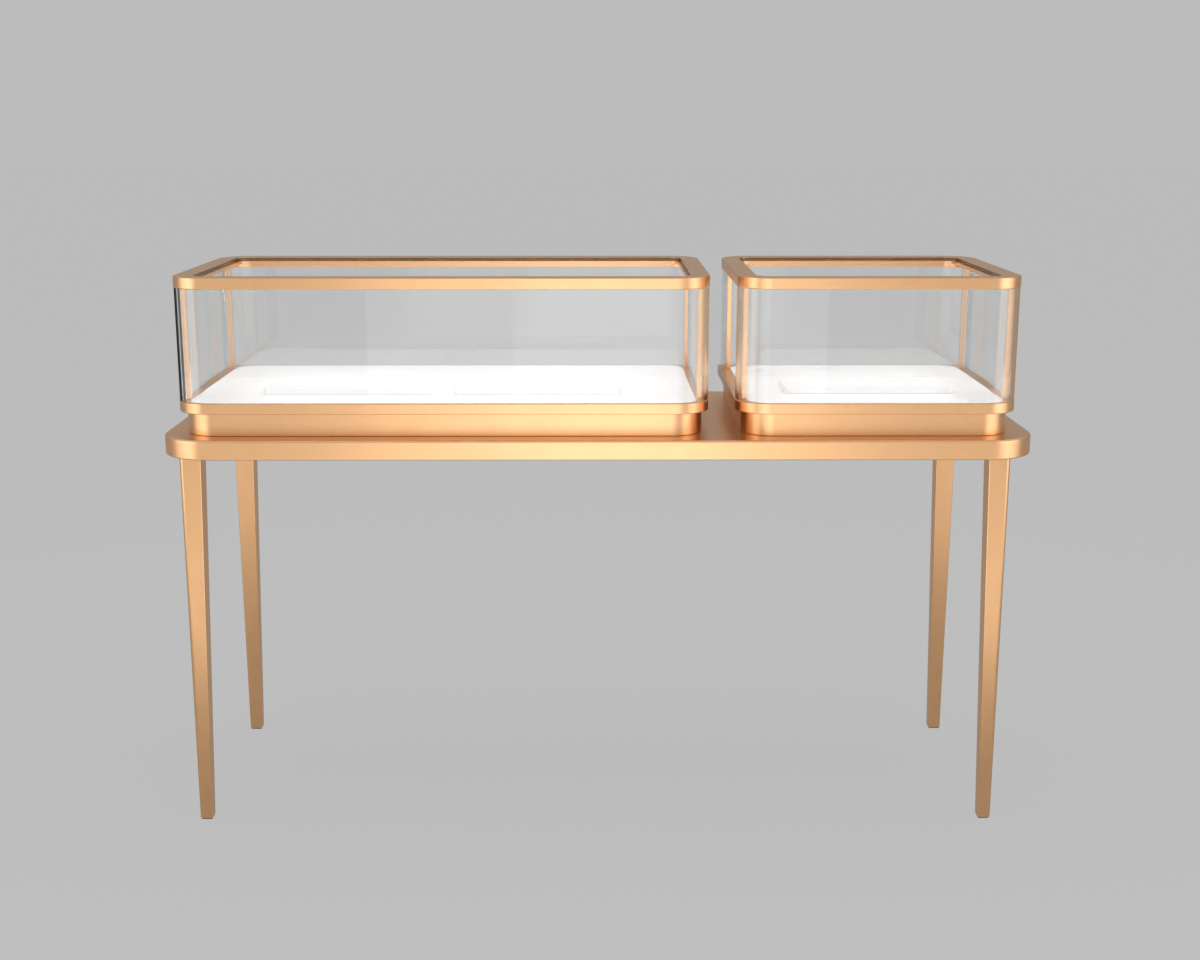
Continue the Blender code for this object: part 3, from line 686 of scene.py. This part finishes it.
    # top frame and its lid
    bar, shelf, rebate, web, inner = 33.0, 4.5, 6.8, 24.0, 12.5
    prof = fillet([(0, fr_lo[2], 1.3), (0, fr_hi[2], 1.3), (bar, fr_hi[2], 0.7),
                   (bar, fr_hi[2] - rebate, 0.3), (bar + shelf, fr_hi[2] - rebate, 0.5),
                   (bar + shelf, fr_hi[2] - inner, 0.5), (web, fr_hi[2] - inner, 0.4),
                   (web, fr_lo[2], 0.6)], 6)

    def around(i):
        return round_rect(x0 + i, x1 - i, -hy + i, hy - i, CASE_R - i)

    # picks the rebate's upright inner faces, which carry the painted shade
    def rebate_shade_faces(n, p):
        d = min(p.x - x0, x1 - p.x, p.y + hy, hy - p.y)
        return int(fr_hi[2] - rebate - 0.1 < p.z < fr_hi[2] - 0.9 and abs(n.z) < 0.5 and d > 20.0)

    Shape().band([(around(i), z, e) for i, z, e in prof], True).done(
        "vis_%s_top_frame" % c, [PROFILE, REBATE_PAINTED_SHADE], body, "satin_rose_gold_profile",
        [c + "_top_frame"], pick=rebate_shade_faces)
    ld_lo, ld_hi = mmbox(c + "_glass_lid")

    def lid(i):
        return round_rect(ld_lo[0] + i, ld_hi[0] - i, ld_lo[1] + i, ld_hi[1] - i,
                          CASE_R - bar - 0.5 - i, 16)

    Shape().stack([(lid(0.8), ld_lo[2], 0.0), (lid(0.2), ld_lo[2] + 0.25, 0.0),
                   (lid(0.0), ld_lo[2] + 0.8, 0.0), (lid(0.0), ld_hi[2] - 0.8, 0.0),
                   (lid(0.2), ld_hi[2] - 0.25, 0.0), (lid(0.8), ld_hi[2], 0.0)]).done(
        "vis_%s_glass_lid" % c, [PANE, PANE_EDGE], body, "clear_glass", [c + "_glass_lid"],
        pick=lambda n, p: abs(n.z) < 0.9)


# ---------------------------------------------------------------- carried-over nodes
def dress(node, material, bevel=0.0):
    ob = NODES[node]
    ob.data.materials.clear()
    ob.data.materials.append(material)
    if bevel:
        b = ob.modifiers.new("bevel", "BEVEL")
        b.width = bevel * MM
        b.segments = 2
        b.limit_method = "ANGLE"
        b.angle_limit = radians(40)
        b.harden_normals = False
        w = ob.modifiers.new("normals", "WEIGHTED_NORMAL")
        w.keep_sharp = True


table()
for name in ("left", "right"):
    case(name)
dress("tabletop_core", BOARD)
for tag in ("front_left", "front_right", "rear_left", "rear_right"):
    dress("leg_bolt_" + tag, STEEL)
    dress("foot_pad_" + tag, NYLON, 0.5)
for c in ("left", "right"):
    dress(c + "_lock_cam", STEEL, 0.3)
    dress(c + "_lock_strike", STEEL, 0.25)
    for side in ("left", "right"):
        dress("%s_slide_channel_%s" % (c, side), STEEL, 0.2)
        dress("%s_slide_runner_%s" % (c, side), STEEL, 0.2)

# ---------------------------------------------------------------- studio
GREY = 0.503
bm = bmesh.new()
bmesh.ops.create_grid(bm, x_segments=1, y_segments=1, size=40.0)
me = bpy.data.meshes.new("floor")
bm.to_mesh(me)
bm.free()
floor = bpy.data.objects.new("floor", me)
bpy.context.scene.collection.objects.link(floor)
fm, fnt, fb, fout = new_material("floor_grey")
fb.inputs["Base Color"].default_value = (0.035, 0.035, 0.035, 1.0)
fb.inputs["Roughness"].default_value = 0.9
fb.inputs["Specular IOR Level"].default_value = 0.0
fb.inputs["Emission Color"].default_value = (1, 1, 1, 1)
fpath = fnt.nodes.new("ShaderNodeLightPath")
mirrored = calc(fnt, "MULTIPLY", fpath.outputs["Is Glossy Ray"],
                calc(fnt, "SUBTRACT", 1.0, fpath.outputs["Is Transmission Ray"]))
fnt.links.new(ramp(fnt, mirrored, 0.0, 1.0, GREY - 0.03, 0.33), fb.inputs["Emission Strength"])
me.materials.append(fm)

world = bpy.data.worlds.new("studio")
bpy.context.scene.world = world
world.use_nodes = True
wnt = world.node_tree
wbg = wnt.nodes["Background"]
direction = wnt.nodes.new("ShaderNodeTexCoord").outputs["Generated"]
split = wnt.nodes.new("ShaderNodeSeparateXYZ")
wnt.links.new(direction, split.inputs[0])
wpath = wnt.nodes.new("ShaderNodeLightPath")
mirrored = calc(wnt, "MULTIPLY", wpath.outputs["Is Glossy Ray"],
                calc(wnt, "SUBTRACT", 1.0, wpath.outputs["Is Transmission Ray"]))
seen = ramp(wnt, split.outputs["Z"], sin(radians(24)), sin(radians(50)), GREY, 0.84, "SMOOTHSTEP")
around = ramp(wnt, split.outputs["Z"], sin(radians(12)), sin(radians(55)), 0.33, 0.70, "SMOOTHSTEP")
level = calc(wnt, "ADD", calc(wnt, "MULTIPLY", seen, calc(wnt, "SUBTRACT", 1.0, mirrored)),
             calc(wnt, "MULTIPLY", around, mirrored))
tone = wnt.nodes.new("ShaderNodeCombineColor")
for k in range(3):
    wnt.links.new(level, tone.inputs[k])
wnt.links.new(tone.outputs[0], wbg.inputs["Color"])
wbg.inputs["Strength"].default_value = 1.0


def softbox(name, centre, aim, w, h, radiance, colour=(1.0, 1.0, 1.0)):
    """Soft area light that faces its aim, given by its brightness as seen."""
    data = bpy.data.lights.new(name, "AREA")
    data.shape = "RECTANGLE"
    data.size, data.size_y = w, h
    data.energy = radiance * pi * w * h
    data.color = colour
    ob = bpy.data.objects.new(name, data)
    ob.location = centre
    ob.rotation_euler = (Vector(aim) - Vector(centre)).to_track_quat("-Z", "Y").to_euler()
    bpy.context.scene.collection.objects.link(ob)
    return ob


def screen(name, centre, aim, w, h, radiance):
    """Lit screen that faces its aim.  It lights and is mirrored, but isn't seen from its
    back, nor straight through a pane."""
    m, nt, b, out = new_material(name)
    nt.nodes.remove(b)
    ray = nt.nodes.new("ShaderNodeLightPath")
    straight = calc(nt, "MULTIPLY", calc(nt, "LESS_THAN", ray.outputs["Glossy Depth"], 0.5),
                    calc(nt, "LESS_THAN", ray.outputs["Diffuse Depth"], 0.5))
    away = nt.nodes.new("ShaderNodeNewGeometry").outputs["Backfacing"]
    hidden = calc(nt, "MAXIMUM", away,
                  calc(nt, "MULTIPLY", straight, ray.outputs["Is Transmission Ray"]))
    lit = put(nt, "ShaderNodeEmission", Color=(1.0, 1.0, 1.0, 1.0), Strength=radiance)
    through = nt.nodes.new("ShaderNodeBsdfTransparent")
    glow = put(nt, "ShaderNodeAddShader", i0=lit.outputs["Emission"], i1=through.outputs["BSDF"])
    sh = put(nt, "ShaderNodeMixShader", i0=hidden, i1=glow.outputs["Shader"],
             i2=through.outputs["BSDF"])
    nt.links.new(sh.outputs["Shader"], out.inputs["Surface"])
    me = bpy.data.meshes.new(name)
    me.from_pydata([(-w / 2, -h / 2, 0), (w / 2, -h / 2, 0), (w / 2, h / 2, 0), (-w / 2, h / 2, 0)],
                   [], [(0, 1, 2, 3)])
    me.materials.append(m)
    ob = bpy.data.objects.new(name, me)
    ob.location = centre
    ob.rotation_euler = (Vector(aim) - Vector(centre)).to_track_quat("Z", "Y").to_euler()
    bpy.context.scene.collection.objects.link(ob)
    ob.visible_camera = False
    ob.visible_shadow = False
    return ob


def diffuse_only(ob):
    ob.visible_glossy = False
    ob.visible_transmission = False
    return ob


screen("key_panel", (0.0, -1.3, 0.5), (0.0, 0.0, 0.5), 1.09, 1.1, 0.63)
screen("key_core", (0.03, -1.31, 0.5), (0.03, 0.0, 0.5), 0.46, 1.1, 0.45)
screen("wide_panel", (0.0, -2.5, 0.68), (0.0, 0.0, 0.68), 3.8, 1.5, 0.37)
for side, sx, turn in (("left", -1, 3), ("right", 1, 0)):
    for k, (az, half, rad) in enumerate(((59 + turn, 27 + turn / 2, 0.96), (54, 15, 0.66))):
        r = 2.4
        c = (sx * (0.66 + r * sin(radians(az))), -0.16 - r * cos(radians(az)), 0.95)
        screen("%s_box_%d" % (side, k), c, (sx * 0.66, -0.16, 0.95), 2 * r * tan(radians(half)), 2.1, rad)
screen("low_box", (0.0, -1.55, 0.02), (0.0, -1.55, 1.0), 3.4, 1.1, 0.84)
diffuse_only(softbox("overhead_box", (0.0, -0.1, 2.5), (0.0, 0.0, 0.8), 2.6, 1.8, 3.0))

cam_data = bpy.data.cameras.new("camera")
cam_data.sensor_width = 36.0
cam_data.lens = 36.0 * 1590.38 / 1200.0
cam_data.clip_end = 100.0
cam = bpy.data.objects.new("camera", cam_data)
cam.location = (-0.0059, -2.8791, 1.2265)
cam.rotation_euler = (pi / 2 - 0.22344, 0.0, -0.00336)
bpy.context.scene.collection.objects.link(cam)
bpy.context.scene.camera = cam
bpy.context.scene.view_settings.view_transform = "Standard"
bpy.context.scene.view_settings.look = "None"
